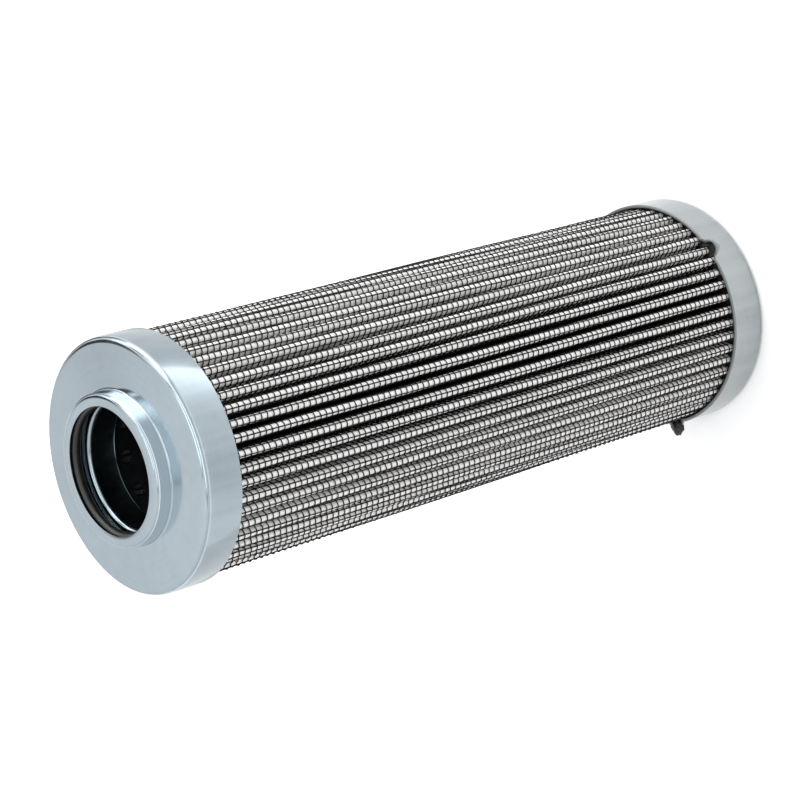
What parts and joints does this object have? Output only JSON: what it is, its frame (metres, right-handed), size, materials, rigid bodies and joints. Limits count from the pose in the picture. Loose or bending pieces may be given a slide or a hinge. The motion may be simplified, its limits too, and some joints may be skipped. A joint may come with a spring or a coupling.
{
  "type": "hydraulic filter element",
  "caption": "Pleated cylindrical filter element with pressed metal end caps, a grooved neck with a sealing ring at one end and a wire mesh over the folded media.",
  "frame": {"origin": "centre of the closed end's flat outer face, on which the element stands", "axes": "+Z along the element's axis, from the closed end towards the neck; the closed cap's skirt has three outward spouts, the first towards +X and -Y"},
  "size_m": [0.0827, 0.08, 0.2528],
  "materials": {
    "zinc_sheet": "bright zinc-plated pressed sheet, smooth satin with soft reflections",
    "sleeve_sheet": "zinc-plated pressed sheet",
    "seal_rubber": "smooth black nitrile rubber, slightly oily",
    "dark_tube": "dark coated perforated sheet steel",
    "coated_wire": "dark brown-black epoxy-coated woven steel wire",
    "fleece": "white spun-bonded polyester fleece",
    "glass_fibre": "white bonded glass fibre",
    "black_epoxy": "black cured epoxy, glossy, slightly uneven"
  },
  "bodies": {
    "root": {"open_end_cap": "zinc_sheet", "spigot_sleeve": "sleeve_sheet", "sealing_ring": "seal_rubber", "closed_end_cap": "zinc_sheet", "support_tube": "dark_tube", "outer_wire_mesh": "coated_wire", "upstream_fleece": "fleece", "prefilter_layer": "glass_fibre", "fine_filter_layer": "glass_fibre", "downstream_fleece": "fleece", "inner_wire_mesh": "coated_wire", "side_seam": "black_epoxy", "open_end_adhesive": "black_epoxy", "closed_end_adhesive": "black_epoxy"}
  },
  "joints": []
}
